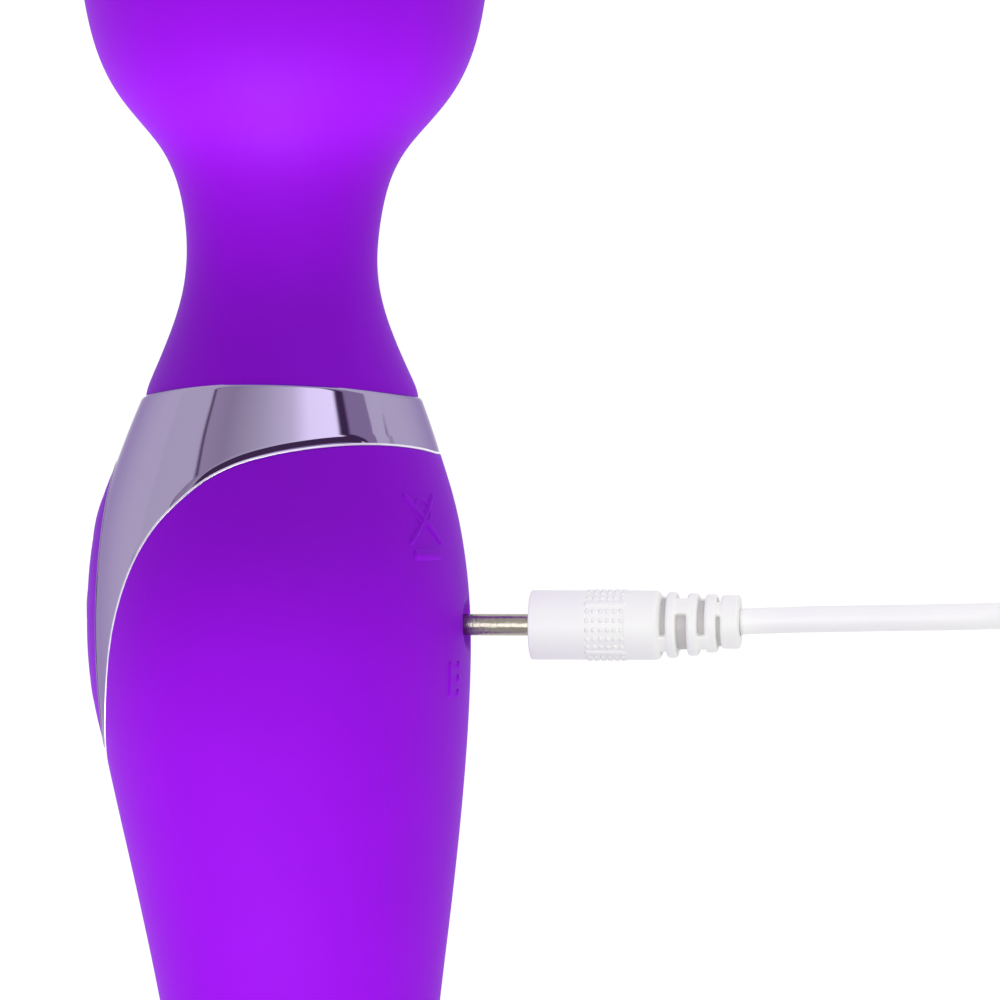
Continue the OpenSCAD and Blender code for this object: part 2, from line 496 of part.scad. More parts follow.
handle_sleeve();
chrome_trim();
control_panel();
upper_casing();
lower_casing();
casing_screws();
neck_socket();
seal_ring();
board_carrier();
circuit_board();
board_screws();
board_chips();
lead_sockets();
tact_switches();
status_led();
battery();
battery_tabs();
battery_pads();
battery_leads();
dc_jack();
jack_pin();
jack_leads();
plus_button();
plus_plunger();
power_button();
power_plunger();
minus_button();
minus_plunger();
neck_skin_lower();
neck_spring_lower();
neck_leads_lower();
neck_link();
neck_skin_upper();
neck_spring_upper();
neck_leads_upper();
head_cover();
head_cup();
head_cap();
motor_can();
motor_magnets();
motor_end_bell();
motor_bush();
motor_bracket();
motor_screws();
motor_shaft();
armature();
commutator();
eccentric_weight();
plug_barrel();
plug_insulator();
plug_grip();
plug_relief();
charging_cord();
cord_coil();
cord_tail();
cord_tie();
usb_grip();
usb_shell();
usb_tongue();
usb_contacts();
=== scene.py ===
"""Handheld wand massager lying on its side, with its charging cable part-way into the rear port.

Shapes are worked out in millimetres in the CAD model's own frame and turned into metres when a mesh is made:
+Y runs along the wand to the head, -X is the front with the buttons, +X the rear with the port, +Z is up.
"""
import json
import math

import bmesh
import bpy
import numpy as np
from mathutils import Matrix, Vector

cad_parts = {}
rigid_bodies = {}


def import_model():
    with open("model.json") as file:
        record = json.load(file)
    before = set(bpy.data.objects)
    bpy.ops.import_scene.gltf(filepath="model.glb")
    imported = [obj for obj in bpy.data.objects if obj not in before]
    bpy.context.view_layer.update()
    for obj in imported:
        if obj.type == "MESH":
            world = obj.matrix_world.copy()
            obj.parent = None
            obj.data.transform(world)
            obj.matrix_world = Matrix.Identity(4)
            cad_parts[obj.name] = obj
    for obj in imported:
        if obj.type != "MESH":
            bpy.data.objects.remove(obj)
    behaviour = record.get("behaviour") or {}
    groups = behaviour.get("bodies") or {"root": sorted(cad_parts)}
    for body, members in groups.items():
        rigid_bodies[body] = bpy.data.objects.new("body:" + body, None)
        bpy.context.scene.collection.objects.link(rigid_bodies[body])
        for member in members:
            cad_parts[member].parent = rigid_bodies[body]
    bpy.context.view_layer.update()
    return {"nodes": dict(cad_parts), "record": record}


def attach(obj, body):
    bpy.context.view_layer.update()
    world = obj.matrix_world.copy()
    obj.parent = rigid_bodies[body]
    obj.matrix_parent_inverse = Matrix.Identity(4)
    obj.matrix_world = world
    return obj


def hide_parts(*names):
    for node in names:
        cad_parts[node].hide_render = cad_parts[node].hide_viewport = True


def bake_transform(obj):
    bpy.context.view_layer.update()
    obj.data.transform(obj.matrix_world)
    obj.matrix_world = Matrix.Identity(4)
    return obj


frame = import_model()
MM = 0.001

# ---------------------------------------------------------------- sizes shared with the CAD model, in mm
AXIS_Z = 24.0
SKIN = 1.9
HEAD_TOP, DOME, HEAD_R = 101.0, 22.5, 24.0
EQUATOR = HEAD_TOP - DOME
BOTTOM, END_ROUND = -101.0, 12.0
RING_Y, RING_LIFT = 26.5, 1.35
LINK_Y, CUP_Y = 43.0, 57.6
PORT_Y = 0.1
BUTTON_R, BUTTON_PITCH = 4.2, 10.0
WINDOW_Y, WINDOW_L, WINDOW_A, BULGE = 2.3, 16.8, 25.5, 0.6
BARREL_R, BARREL_L = 1.25, 10.0
GRIP_R, GRIP_X, GRIP_L = 4.0, 29.13, 15.15
TIP_X = GRIP_X - BARREL_L
RELIEF_X = GRIP_X + GRIP_L
CORD_D = 3.0
COIL_C = (112.0, 23.0)
USB_X = 128.0

# Powers of the superellipses that round the wand's two ends and the window; 2 would be an ellipse
END_POWER, WINDOW_POWER = 2.2, 3

# Outlines as (y, distance from the axis): of the handle's front, rear and sides, and of the neck and head
FRONT = [(29, 15.2), (24, 17.4), (19, 19.3), (14.5, 20.8), (10, 21.6), (4, 22.1), (-2, 22.15), (-7, 21.8),
         (-11, 21.2), (-20, 19.3), (-29, 17.25), (-43, 14.3), (-60, 11.4), (-76, 9.7), (-90, 8.7),
         (-101, 8.2)]
REAR = [(29, 15), (24, 16.9), (19, 18.5), (14.5, 19.9), (10, 20.8), (3, 21.6), (-2, 21.75), (-8, 21.6),
        (-20, 20.8), (-29, 19.9), (-43, 18.25), (-60, 16.4), (-76, 15.1), (-90, 14.3), (-101, 13.9)]
SIDE = [(29, 15.1), (24, 17.2), (19, 19.1), (14.5, 20.9), (10, 22.3), (4, 23.6), (-2, 24), (-10, 23.6),
        (-20, 22.1), (-29, 20.3), (-43, 17.4), (-60, 14.8), (-76, 13), (-90, 12), (-101, 11.6)]
NECK = [(24, 16.9), (27, 15.85), (30.5, 14.3), (33, 13.25), (36.5, 12), (39.5, 11.3), (42.5, 11.05),
        (46.5, 11.3), (49.5, 11.8), (52.5, 12.7), (55.5, 14.3), (58.5, 16.9), (61, 19), (64, 20.8),
        (67.5, 22.15), (72.5, 23.25), (EQUATOR, HEAD_R), (84, 24.0)]
# Lower edge of the trim as (angle from the front, y)
TRIM_LOW = [(0, -17.6), (8, -17), (16, -15.3), (24, -12.4), (30, -9.2), (35, -5.6), (39, -1.2), (43, 2.3),
            (48, 6.1), (57, 11), (66, 14.2), (74, 16.5), (84, 18.3), (96, 19.5), (110, 20.3), (130, 20.8),
            (147, 20.7), (160, 20.4), (180, 19.9)]


def smooth_curve(points, soft, mirrored=False):
    """A smooth function through [place, value] pairs, softened over about soft places."""
    points = sorted(points)
    if mirrored:
        points = [(-p, v) for p, v in points[:0:-1]] + points
        last = points[-1][0]
        points += [(2 * last - p, v) for p, v in points[-2:-8:-1]]
    x = np.array([p for p, _ in points], float)
    v = np.array([q for _, q in points], float)
    chord = np.diff(v) / np.diff(x)
    gap = np.diff(x)
    slope = np.concatenate([[chord[0]], (gap[1:] * chord[:-1] + gap[:-1] * chord[1:]) / (gap[1:] + gap[:-1]),
                            [chord[-1]]])
    step = soft / 8
    reach = 4 * soft
    grid = np.arange(x[0] - reach, x[-1] + reach, step)
    i = np.clip(np.searchsorted(x, grid, side="right") - 1, 0, len(x) - 2)
    u = (grid - x[i]) / gap[i]
    inner = (v[i] * (2 * u**3 - 3 * u**2 + 1) + gap[i] * slope[i] * (u**3 - 2 * u**2 + u)
             + v[i + 1] * (3 * u**2 - 2 * u**3) + gap[i] * slope[i + 1] * (u**3 - u**2))
    value = np.where(u < 0, v[0] + slope[0] * (grid - x[0]),
                     np.where(u > 1, v[-1] + slope[-1] * (grid - x[-1]), inner))
    kernel = np.exp(-0.5 * (np.arange(-reach, reach + step / 2, step) / soft) ** 2)
    value = np.convolve(np.pad(value, len(kernel) // 2, mode="edge"), kernel / kernel.sum(), mode="valid")
    return lambda s: np.interp(s, grid, value[:len(grid)])


front_line = smooth_curve(FRONT, 2.0)
rear_line = smooth_curve(REAR, 2.0)
side_line = smooth_curve(SIDE, 2.0)
neck_line = smooth_curve(NECK, 1.2)
trim_edge = smooth_curve(TRIM_LOW, 2.0, mirrored=True)


def trim_low(angle):
    """The y of the trim's lower edge at an angle from the front."""
    a = np.mod(angle, 360)
    return trim_edge(np.where(a > 180, 360 - a, a))


def trim_top(angle):
    """The y of the trim's top edge, which rises towards the wand's sides."""
    return RING_Y + RING_LIFT * np.sin(np.radians(angle)) ** 2


def shrink(y, depth):
    """How far the handle's rounded lower end has closed in, from 1 to 0 at its tip."""
    u = np.clip((BOTTOM + END_ROUND - y) / (END_ROUND - depth), 0, 1)
    return (1 - u**END_POWER) ** (1 / END_POWER)


def on_handle(angle, y, depth=0.0):
    """Points of the handle's surface at an angle from the front, at y, and depth below the outside."""
    angle, y, depth = np.broadcast_arrays(*[np.asarray(q, float) for q in (angle, y, depth)])
    front, rear, small = front_line(y), rear_line(y), shrink(y, depth)
    a = np.radians(angle)
    return np.stack([(rear - front) / 2 - ((rear + front) / 2 - depth) * small * np.cos(a), y,
                     AXIS_Z + (side_line(y) - depth) * small * np.sin(a)], -1)


# ---------------------------------------------------------------- mesh helpers
def grid_faces(rows, columns):
    """The quads between rows of points, each row a ring."""
    j, i = np.meshgrid(np.arange(rows - 1), np.arange(columns), indexing="ij")
    k = (i + 1) % columns
    quads = np.stack([j * columns + i, j * columns + k, (j + 1) * columns + k, (j + 1) * columns + i], -1)
    return quads.reshape(-1, 4).tolist()


def make(name, points, faces, material, body=None, replaces=(), slot=None, sharp=40):
    """A mesh object from points in mm. Its normals point out, and edges over sharp degrees stay crisp."""
    mesh = bpy.data.meshes.new(name)
    mesh.from_pydata((np.asarray(points, float) * MM).tolist(), [], faces)
    mesh.update()
    obj = bpy.data.objects.new(name, mesh)
    bpy.context.scene.collection.objects.link(obj)
    tidy_normals(mesh)
    mesh.shade_smooth()
    mesh.set_sharp_from_angle(angle=math.radians(sharp))
    mesh.materials.append(material)
    if body:
        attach(obj, body)
    if replaces:
        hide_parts(*replaces)
    return obj


def tidy_normals(mesh):
    """Joins points on the same place and turns all faces outwards."""
    work = bmesh.new()
    work.from_mesh(mesh)
    bmesh.ops.remove_doubles(work, verts=work.verts, dist=1e-7)
    bmesh.ops.recalc_face_normals(work, faces=work.faces)
    work.to_mesh(mesh)
    work.free()


def loft(rings, closed=False):
    """Points and faces of a tube through rings of points, with a fan at both ends unless it is closed."""
    rings = [np.asarray(r, float) for r in rings]
    n, m = len(rings[0]), len(rings)
    points = np.concatenate(rings)
    faces = grid_faces(m, n)
    if closed:
        last = (m - 1) * n
        faces += [[last + i, last + (i + 1) % n, (i + 1) % n, i] for i in range(n)]
        return points, faces
    points = np.concatenate([points, [rings[0].mean(0)], [rings[-1].mean(0)]])
    faces += [[n * m, (i + 1) % n, i] for i in range(n)]
    faces += [[n * m + 1, (m - 1) * n + i, (m - 1) * n + (i + 1) % n] for i in range(n)]
    return points, faces


def joined(parts):
    """Several meshes, given as points and faces, as one."""
    points, faces, start = [], [], 0
    for p, f in parts:
        points.append(np.asarray(p, float))
        faces += [[i + start for i in face] for face in f]
        start += len(p)
    return np.concatenate(points), faces


def lathe(profile, centre, count=64, closed=True):
    """A solid of revolution round a line along x through centre (y, z). profile holds (x, radius) pairs."""
    turn = np.radians(np.arange(count) * 360 / count)
    rings = [np.stack([np.full(count, float(x)), centre[0] + radius * np.cos(turn),
                       centre[1] + radius * np.sin(turn)], -1) for x, radius in profile]
    return loft(rings, closed=closed)


def rounded_corner(x, side, radius, way=1):
    """Profile points from a face at x round to a side at its radius; way is 1 or -1, along x."""
    turns = [math.radians(q) for q in range(0, 91, 15)]
    return [(x + way * radius * (1 - math.cos(t)), side - radius * (1 - math.sin(t))) for t in turns]


def weld(mesh):
    """Joins points that all but touch, and takes out doubled faces and faces that stand on one edge."""
    work = bmesh.new()
    work.from_mesh(mesh)
    bmesh.ops.triangulate(work, faces=work.faces)
    bmesh.ops.remove_doubles(work, verts=work.verts, dist=2e-6)
    groups = {}
    for face in work.faces:
        groups.setdefault(frozenset(v.index for v in face.verts), []).append(face)
    doubled = [face for group in groups.values() if len(group) > 1 for face in group]
    bmesh.ops.delete(work, geom=doubled, context="FACES")
    fins = [f for f in work.faces if {1, 3} <= {len(e.link_faces) for e in f.edges}]
    bmesh.ops.delete(work, geom=fins, context="FACES")
    work.to_mesh(mesh)
    work.free()


def apply_modifiers(obj):
    """Puts what the object's modifiers make of its mesh in the mesh's place."""
    bpy.context.view_layer.update()
    result = bpy.data.meshes.new_from_object(obj.evaluated_get(bpy.context.evaluated_depsgraph_get()))
    obj.modifiers.clear()
    old, obj.data = obj.data, result
    bpy.data.meshes.remove(old)


def cut(obj, tool):
    """Takes tool, an object made for it, out of obj."""
    modifier = obj.modifiers.new("cut", "BOOLEAN")
    modifier.operation = "DIFFERENCE"
    modifier.solver = "EXACT"
    modifier.object = tool
    apply_modifiers(obj)
    weld(obj.data)
    bpy.data.objects.remove(tool)


def cutter(x0, x1, radius, y, count):
    """A round tool for cut(), along x at the height of the wand's axis."""
    return make("cutter", *lathe([(x0, radius), (x1, radius)], (y, AXIS_Z), count, closed=False), silicone)


def ease(value, low, high):
    """0 below low, 1 above high, smooth between."""
    u = np.clip((value - low) / (high - low), 0, 1)
    return u * u * (3 - 2 * u)


# ---------------------------------------------------------------- camera, in mm and degrees
CAMERA_TILT = 8.0
CAMERA_DISTANCE = 600.0
LOOK_AT = (25.4, 14.5, AXIS_Z)
SENSOR = 36.0
VIEW_WIDTH = 115.47344  # at the wand's axis

tilt = math.radians(CAMERA_TILT)
camera_data = bpy.data.cameras.new("camera")
camera_data.sensor_width = SENSOR
camera_data.lens = SENSOR * CAMERA_DISTANCE / VIEW_WIDTH
camera_data.clip_start = 0.01
camera = bpy.data.objects.new("camera", camera_data)
bpy.context.scene.collection.objects.link(camera)
eye = Vector(LOOK_AT) + CAMERA_DISTANCE * Vector((math.sin(tilt), 0, math.cos(tilt)))
right = Vector((math.cos(tilt), 0, -math.sin(tilt)))
up = Vector((0, 1, 0))
axes = Matrix((right, up, right.cross(up))).transposed()
camera.matrix_world = Matrix.Translation(eye * MM) @ axes.to_4x4()
bpy.context.scene.camera = camera


# ---------------------------------------------------------------- materials
def new_material(name, **inputs):
    """A plain material. inputs are the shader's own values, by the name of their socket."""
    material = bpy.data.materials.new(name)
    material.use_nodes = True
    shader = material.node_tree.nodes["Principled BSDF"]
    for key, value in inputs.items():
        socket = shader.inputs[key.replace("_", " ")]
        socket.default_value = (*value, 1.0) if isinstance(value, tuple) else value
    return material


def varied(name, scale, colour, spread, rough, rough_spread, bump=0.0, bump_scale=None, **inputs):
    """A material with fine 3-D noise: scale per metre, spread of the colour and the roughness, relief."""
    material = new_material(name, **inputs)
    nodes, links = material.node_tree.nodes, material.node_tree.links
    shader = nodes["Principled BSDF"]
    place = nodes.new("ShaderNodeTexCoord")

    def noise(noise_scale, detail):
        node = nodes.new("ShaderNodeTexNoise")
        node.inputs["Scale"].default_value = noise_scale
        node.inputs["Detail"].default_value = detail
        links.new(place.outputs["Object"], node.inputs["Vector"])
        return node.outputs["Fac"]

    broad = noise(scale, 4.0)
    ramp = nodes.new("ShaderNodeValToRGB")
    for end, position, change in zip(ramp.color_ramp.elements, (0.3, 0.7), (1 - spread, 1 + spread)):
        end.position = position
        end.color = (*[min(1, channel * change) for channel in colour], 1)
    links.new(broad, ramp.inputs["Fac"])
    links.new(ramp.outputs["Color"], shader.inputs["Base Color"])
    span = nodes.new("ShaderNodeMapRange")
    span.inputs["To Min"].default_value = rough - rough_spread
    span.inputs["To Max"].default_value = rough + rough_spread
    links.new(broad, span.inputs["Value"])
    links.new(span.outputs["Result"], shader.inputs["Roughness"])
    if bump:
        relief = nodes.new("ShaderNodeBump")
        relief.inputs["Strength"].default_value = bump
        relief.inputs["Distance"].default_value = 0.0001
        links.new(noise(bump_scale or scale * 4, 2.0), relief.inputs["Height"])
        links.new(relief.outputs["Normal"], shader.inputs["Normal"])
    return material


silicone = varied("silicone", 60, (0.242, 0.0034, 0.60), 0.03, 0.55, 0.03, 0.12, 9000,
                  Specular_IOR_Level=0.05)
plated = varied("plated_trim", 40, (0.37, 0.315, 0.485), 0.01, 0.06, 0.015, Metallic=1.0,
                Specular_Tint=(0.55, 0.48, 0.66))
# The trim bead's pale tint is a painted highlight for the bright line along the trim's lower edge. The bead
# is the same plated metal as the trim, and the lamps' reflection in it is real.
painted_highlight_edge = varied("painted_highlight_edge", 40, (0.9, 0.86, 0.95), 0.01, 0.42, 0.02, Metallic=1.0)
white_plastic = varied("white_plastic", 120, (0.868, 0.88, 0.85), 0.01, 0.42, 0.04, 0.08, 7000,
                       Specular_IOR_Level=0.4)
# The core's mid grey is painted shade for the gaps between the relief's collars; the real core is the same
# white plastic as the collars.
relief_core = varied("relief_core", 200, (0.50, 0.48, 0.48), 0.04, 0.5, 0.05, 0.1, 6000)
cord_white = varied("cord_white", 150, (0.88, 0.88, 0.88), 0.01, 0.38, 0.04, 0.06, 5000,
                    Specular_IOR_Level=0.4)
nickel = varied("nickel", 900, (0.37, 0.345, 0.295), 0.06, 0.24, 0.06, 0.35, 2500, Metallic=1.0)
steel = varied("steel", 500, (0.56, 0.56, 0.57), 0.05, 0.3, 0.08, 0.1, Metallic=1.0)
shell_steel = varied("shell_steel", 500, (0.86, 0.86, 0.85), 0.03, 0.26, 0.06, 0.1, Metallic=1.0)
wire_red = varied("wire_red", 200, (0.45, 0.02, 0.02), 0.05, 0.4, 0.05)
by_slot = {
    "silicone_violet": silicone,
    "plated_trim": plated,
    "white_plastic": white_plastic,
    "white_cord": cord_white,
    "nickel": nickel,
    "steel": steel,
    "wire_red": wire_red,
    "grey_casing": varied("grey_casing", 200, (0.10, 0.10, 0.115), 0.06, 0.55, 0.05, 0.2),
    "black_rubber": varied("black_rubber", 300, (0.02, 0.02, 0.02), 0.1, 0.75, 0.05, 0.2),
    "board_green": varied("board_green", 400, (0.012, 0.12, 0.04), 0.15, 0.35, 0.05),
    "black_plastic": varied("black_plastic", 300, (0.02, 0.02, 0.022), 0.1, 0.45, 0.06, 0.2),
    "led_lens": varied("led_lens", 100, (0.8, 0.85, 1.0), 0.02, 0.1, 0.02, Transmission_Weight=0.6),
    "cell_wrap": varied("cell_wrap", 80, (0.03, 0.14, 0.42), 0.05, 0.25, 0.03),
    "wire_black": varied("wire_black", 200, (0.015, 0.015, 0.015), 0.1, 0.4, 0.05),
    "magnet": varied("magnet", 300, (0.04, 0.04, 0.045), 0.2, 0.6, 0.08, 0.3),
    "bronze": varied("bronze", 300, (0.55, 0.28, 0.11), 0.08, 0.35, 0.08, Metallic=1.0),
    "contact_gold": varied("contact_gold", 300, (0.75, 0.54, 0.2), 0.05, 0.22, 0.05, Metallic=1.0),
}
for part in frame["record"]["subparts"]:
    cad = frame["nodes"][part["node"]]
    cad.data.materials.clear()
    cad.data.materials.append(by_slot[part["material_slot"]])
frame["nodes"]["usb_shell"].data.materials[0] = shell_steel

# ---------------------------------------------------------------- cord, in one smooth line
CORD_ROUTE = [(53.3, 0.55, 24), (60, 0.8, 24), (70, 1, 24), (80, 1.2, 23.9), (87.5, 1.5, 21.6),
              (92.5, 1.9, 16.6), (96.2, 2.4, 10.4), (100.8, 3, 4.9), (106.5, 3.7, 2.6)]
# Radius and height of each turn of the coil
TURNS = [(19.2, 2.25), (16, 2.25), (12.8, 2.25), (14.4, 4.85), (17.6, 4.85), (16, 7.45)]
TAIL_ROUTE = [(128.5, 30, 8.4), (129.4, 37, 7), (128.8, 43.5, 4.6), (128, 50.5, 4)]
TURN_STEPS = 40
MOVE_FROM = 0.83


def coil_points():
    """The coil's turns, each moving over to the next one's radius and height in its last sixth."""
    points = []
    count = int(TURN_STEPS * (len(TURNS) + 0.25))
    for k in range(count + 1):
        turn = k / TURN_STEPS
        i = min(int(turn), len(TURNS) - 1)
        j = min(i + 1, len(TURNS) - 1)
        move = float(ease(turn - i, MOVE_FROM, 1.0))
        radius = TURNS[i][0] + (TURNS[j][0] - TURNS[i][0]) * move
        height = TURNS[i][1] + (TURNS[j][1] - TURNS[i][1]) * move
        a = math.radians(360 * turn - 90)
        points.append((COIL_C[0] + radius * math.cos(a), COIL_C[1] + radius * math.sin(a), height))
    return points


def catmull(points, step):
    """A smooth line through points, sampled about every step mm."""
    p = [np.array(q, float) for q in points]
    p = [2 * p[0] - p[1]] + p + [2 * p[-1] - p[-2]]
    line = []
    for a, b, c, d in zip(p, p[1:], p[2:], p[3:]):
        count = max(1, round(float(np.linalg.norm(c - b)) / step))
        for k in range(count):
            f = k / count
            line.append(b + 0.5 * f * (c - a + f * (2 * a - 5 * b + 4 * c - d + f * (3 * (b - c) + d - a))))
    line.append(p[-2])
    return np.array(line)


def tube(line, radius, count=16):
    """A round tube along a line of points, without twist."""
    tangent = np.gradient(line, axis=0)
    tangent /= np.linalg.norm(tangent, axis=1)[:, None]
    side = np.cross(tangent[0], [0, 0, 1.0])
    rings = []
    turn = np.radians(np.arange(count) * 360 / count)
    for point, direction in zip(line, tangent):
        side = side - direction * side.dot(direction)
        side /= np.linalg.norm(side)
        other = np.cross(direction, side)
        rings.append(point + radius * (np.cos(turn)[:, None] * side + np.sin(turn)[:, None] * other))
    return loft(rings)


cord_line = catmull(CORD_ROUTE + coil_points() + TAIL_ROUTE, 1.0)
cord = make("cord", *tube(cord_line, CORD_D / 2), cord_white, "cable",
            ["charging_cord", "cord_coil", "cord_tail"], "white_cord")

# ---------------------------------------------------------------- handle skin
half_turn = np.concatenate([np.arange(0, 150, 2.5), np.arange(150, 166, 1.0), np.arange(166, 180, 0.5)])
skin_angles = np.concatenate([half_turn, [180.0], 360 - half_turn[:0:-1]])
EDGE_ROUND = 0.3
DENT_DEPTH, DENT_FLOOR_R, DENT_R = 0.85, 1.7, 3.25


def dented(points):
    """The points with the shallow round hollow that the plug goes into, on the wand's rear."""
    away = np.hypot(points[..., 1] - PORT_Y, points[..., 2] - AXIS_Z)
    dent = DENT_DEPTH * (1 - ease(away, DENT_FLOOR_R, DENT_R)) * (points[..., 0] > 10)
    points = points.copy()
    points[..., 0] -= dent
    return points


def skin_rows():
    """Rows (y, depth) of the skin from its lower tip up the outside to the trim and back down the inside."""
    def flat(y, depth):
        return np.full(len(skin_angles), y), depth

    rows = []
    for q in np.concatenate([[3, 7], np.arange(12, 91, 6)]):
        rows.append(flat(BOTTOM + END_ROUND * (1 - math.cos(math.radians(q))), 0.0))
    level = BOTTOM + END_ROUND
    rows += [flat(y, 0.0) for y in np.arange(level + 1.5, -40, 1.5)]
    base = rows[-1][0][0]
    edge = trim_low(skin_angles) - 0.1
    steps = 130
    for k in range(1, steps + 1):
        rows.append((base + (edge - EDGE_ROUND - base) * k / steps, 0.0))
    for q in np.arange(15, 91, 15):
        t = math.radians(q)
        rows.append((edge - EDGE_ROUND * (1 - math.sin(t)), EDGE_ROUND * (1 - math.cos(t))))
    rows.append((edge, SKIN))
    for k in range(1, 8):
        rows.append((edge + (base - edge) * k / 7, SKIN))
    rows.append(flat(level, SKIN))
    for q in (70, 50, 30, 12):
        rows.append(flat(BOTTOM + SKIN + (END_ROUND - SKIN) * (1 - math.cos(math.radians(q))), SKIN))
    return rows


def skin_ring(y, depth):
    """One row of the skin's points, with the hollow at the port on the outside."""
    ring = on_handle(skin_angles, y, depth)
    return dented(ring) if depth == 0.0 else ring


skin = make("handle_skin", *loft([skin_ring(y, depth) for y, depth in skin_rows()]), silicone, "handle",
            ["handle_sleeve"], "silicone_violet")
cut(skin, cutter(18, 25, BARREL_R + 0.07, PORT_Y, 48))

# ---------------------------------------------------------------- plated trim
# The trim's columns: close together across the window, each with half the window's length there, then wider
OPEN_COLUMNS = 26
column_turn = np.radians(np.arange(OPEN_COLUMNS + 1) * 90 / OPEN_COLUMNS)
column_s = np.sin(column_turn) ** (2 / WINDOW_POWER)
column_half = WINDOW_L * np.cos(column_turn).clip(0) ** (2 / WINDOW_POWER)
behind = np.concatenate([[25.9, 26.5, 27.2, 28], np.arange(29, 60, 1.25), np.arange(60, 181, 2.5)])
half_angles = np.concatenate([WINDOW_A * column_s, behind])
half_window = np.concatenate([column_half, np.zeros(len(behind))])
trim_angles = np.concatenate([half_angles, 360 - half_angles[-2:0:-1]])
trim_window = np.concatenate([half_window, half_window[-2:0:-1]])
TRIM_STEPS = 34
SHOULDER = 0.55
ROLL, ROLL_DEPTH = 1.1, 0.4
# Angles from the front between which the roll of the lower edge deepens, and between which it fades
ROLL_DEEPENS, ROLL_FADES = (61, 78), (127, 136)


def trim_rows():
    """Rows (y, depth) of the trim's outside from its top edge, past the window, to its lower edge.

    The second value is the number of the last row above the window.
    """
    top, low = trim_top(trim_angles), trim_low(trim_angles)
    folded = np.where(trim_angles > 180, 360 - trim_angles, trim_angles)
    drift = ease(folded, WINDOW_A, 62)
    middle = WINDOW_Y + ((top + low) / 2 - WINDOW_Y) * drift
    upper, lower = middle + trim_window, middle - trim_window
    rows = [(top, SKIN * 0.9)]
    for q in np.arange(90, -1, -15):
        t = math.radians(q)
        rows.append((top - SHOULDER * (1 - math.sin(t)), SHOULDER * (1 - math.cos(t))))
    start = top - SHOULDER
    for k in range(1, TRIM_STEPS + 1):
        rows.append((start + (upper - start) * k / TRIM_STEPS, 0.0))
    cut_row = len(rows) - 1
    end = low + ROLL
    roll_depth = 0.04 + ROLL_DEPTH * ease(folded, *ROLL_DEEPENS) * (1 - ease(folded, *ROLL_FADES))
    for k in range(TRIM_STEPS + 1):
        rows.append((lower + (end - lower) * k / TRIM_STEPS, 0.0))
    for k in range(1, 9):
        rows.append((end - ROLL * k / 8, roll_depth * (k / 8) ** 1.25))
    rows.append((low, SKIN * 0.9))
    return rows, cut_row


def thick_sheet(outer, inner_points, faces):
    """A closed solid from a sheet, the same sheet lower down, and walls along every free edge."""
    count = len(outer)
    edges = dict.fromkeys((a, b) for face in faces for a, b in zip(face, face[1:] + face[:1]))
    walls = [[b, a, a + count, b + count] for a, b in edges if (b, a) not in edges and a != b]
    under = [[i + count for i in face[::-1]] for face in faces]
    return np.concatenate([outer, inner_points]), faces + under + walls


def plated_trim():
    """The trim as a closed shell, its rows above and below the window joined where the window is shut."""
    rows, cut_row = trim_rows()
    n = len(trim_angles)
    outer = np.concatenate([on_handle(trim_angles, y, d) for y, d in rows])
    under = np.concatenate([on_handle(trim_angles, y, SKIN) for y, _ in rows])
    shut = trim_window < 1e-6

    def index(j, i):
        i %= n
        return (cut_row if j == cut_row + 1 and shut[i] else j) * n + i

    faces = [[index(j, i), index(j, i + 1), index(j + 1, i + 1), index(j + 1, i)]
             for j in range(len(rows) - 1) if j != cut_row for i in range(n)]
    return thick_sheet(outer, under, faces)


def window_loop(scale, rise):
    """The window's outline, scaled towards its middle, on the handle's surface raised by rise."""
    turn = np.radians(np.arange(0, 360, 2.25))
    power = 2 / WINDOW_POWER
    across = np.sign(np.cos(turn)) * np.abs(np.cos(turn)) ** power * WINDOW_A * scale
    along = WINDOW_Y + np.sign(np.sin(turn)) * np.abs(np.sin(turn)) ** power * WINDOW_L * scale
    return on_handle(across, along, -rise)


def closed_tube(line, radius, count=10):
    """A thin round bead along a closed line on the handle."""
    tangent = np.roll(line, -1, 0) - np.roll(line, 1, 0)
    tangent /= np.linalg.norm(tangent, axis=1)[:, None]
    out = line - np.array([0, 0, AXIS_Z])
    out[:, 1] = 0
    out -= tangent * (out * tangent).sum(1)[:, None]
    out /= np.linalg.norm(out, axis=1)[:, None]
    side = np.cross(tangent, out)
    turn = np.radians(np.arange(count) * 360 / count)
    rings = [p + radius * (np.cos(turn)[:, None] * o + np.sin(turn)[:, None] * s)
             for p, o, s in zip(line, out, side)]
    return loft(rings, closed=True)


make("plated_trim", *plated_trim(), plated, "handle", ["chrome_trim"], "plated_trim", sharp=60)
make("window_bead", *closed_tube(window_loop(1.0, -0.12), 0.2), plated, "handle", slot="plated_trim")
# A bead along the trim's lower edge, in the pale metal of its painted highlight.
bead_angles = np.arange(0, 360, 1.0)
make("trim_bead", *closed_tube(on_handle(bead_angles, trim_low(bead_angles) + 0.02, 0.1), 0.155), painted_highlight_edge,
     "handle", slot="plated_trim")

# ---------------------------------------------------------------- control panel and buttons
PANEL_SCALE = 0.985
BUTTON_GAP, BUTTON_H, CROWN, RIM = 0.16, 3.4, 0.28, 0.4


def panel_rise(scale):
    """How far the panel stands out of the handle's surface, from its middle (0) to its edge (1)."""
    return BULGE * (1 - np.clip(scale, 0, 1) ** 2.6)


def control_panel():
    """The panel that fills the window: bulged in front and rounded at its edge."""
    scales = np.concatenate([[0.02, 0.06], np.arange(0.1, 0.95, 0.04), [0.95, 0.965]])
    rings = [window_loop(s, panel_rise(s)) for s in scales]
    rings += [window_loop(0.977, 0.03), window_loop(0.983, -0.06), window_loop(PANEL_SCALE, -0.2)]
    rings += [window_loop(s, -SKIN) for s in (PANEL_SCALE, 0.7, 0.35, 0.05)]
    return loft(rings)


